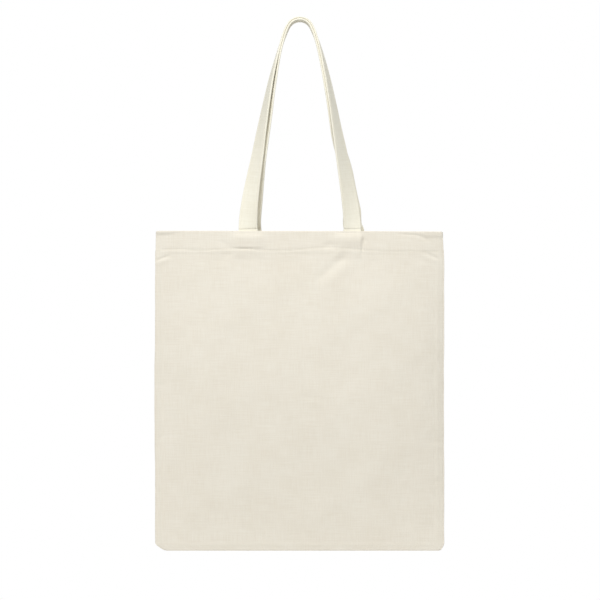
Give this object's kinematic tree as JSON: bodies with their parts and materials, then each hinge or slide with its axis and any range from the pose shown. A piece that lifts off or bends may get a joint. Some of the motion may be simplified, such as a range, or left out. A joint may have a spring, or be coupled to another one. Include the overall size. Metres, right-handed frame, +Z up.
{
  "type": "tote bag",
  "caption": "Flat canvas tote bag with a turned hem and long sewn strap handles, hanging from a peg with both handles together.",
  "frame": {"origin": "the hanging point, at the middle of the inner strap's underside, where the handles pass over a peg", "axes": "+Z up, +X to the right when the front is seen, the front panel faces -Y"},
  "size_m": [0.38, 0.0286, 0.7024],
  "materials": {
    "canvas": "plain-woven natural cotton canvas, matt",
    "strap_canvas": "folded natural cotton canvas, matt",
    "thread": "off-white spun sewing thread"
  },
  "bodies": {
    "bag": {"front_panel": "canvas", "back_panel": "canvas", "left_side_seam_thread": "thread", "right_side_seam_thread": "thread", "bottom_seam_thread": "thread", "left_overlock": "thread", "right_overlock": "thread", "bottom_overlock": "thread", "front_hem_thread": "thread", "back_hem_thread": "thread", "front_left_strap_end": "strap_canvas", "front_right_strap_end": "strap_canvas", "back_left_strap_end": "strap_canvas", "back_right_strap_end": "strap_canvas", "front_left_tack": "thread", "front_right_tack": "thread", "back_left_tack": "thread", "back_right_tack": "thread"},
    "front_handle": {"front_handle_strap": "strap_canvas", "front_handle_edge_threads": "thread"},
    "back_handle": {"back_handle_strap": "strap_canvas", "back_handle_edge_threads": "thread"}
  },
  "joints": [
    {"name": "front_handle_fold", "type": "hinge", "parent": "bag", "child": "front_handle", "pos_m": [0, -0.00905, -0.275], "axis": [1, 0, 0], "range_deg": [0, 155]},
    {"name": "back_handle_fold", "type": "hinge", "parent": "bag", "child": "back_handle", "pos_m": [0, 0.00905, -0.275], "axis": [-1, 0, 0], "range_deg": [0, 155]}
  ]
}
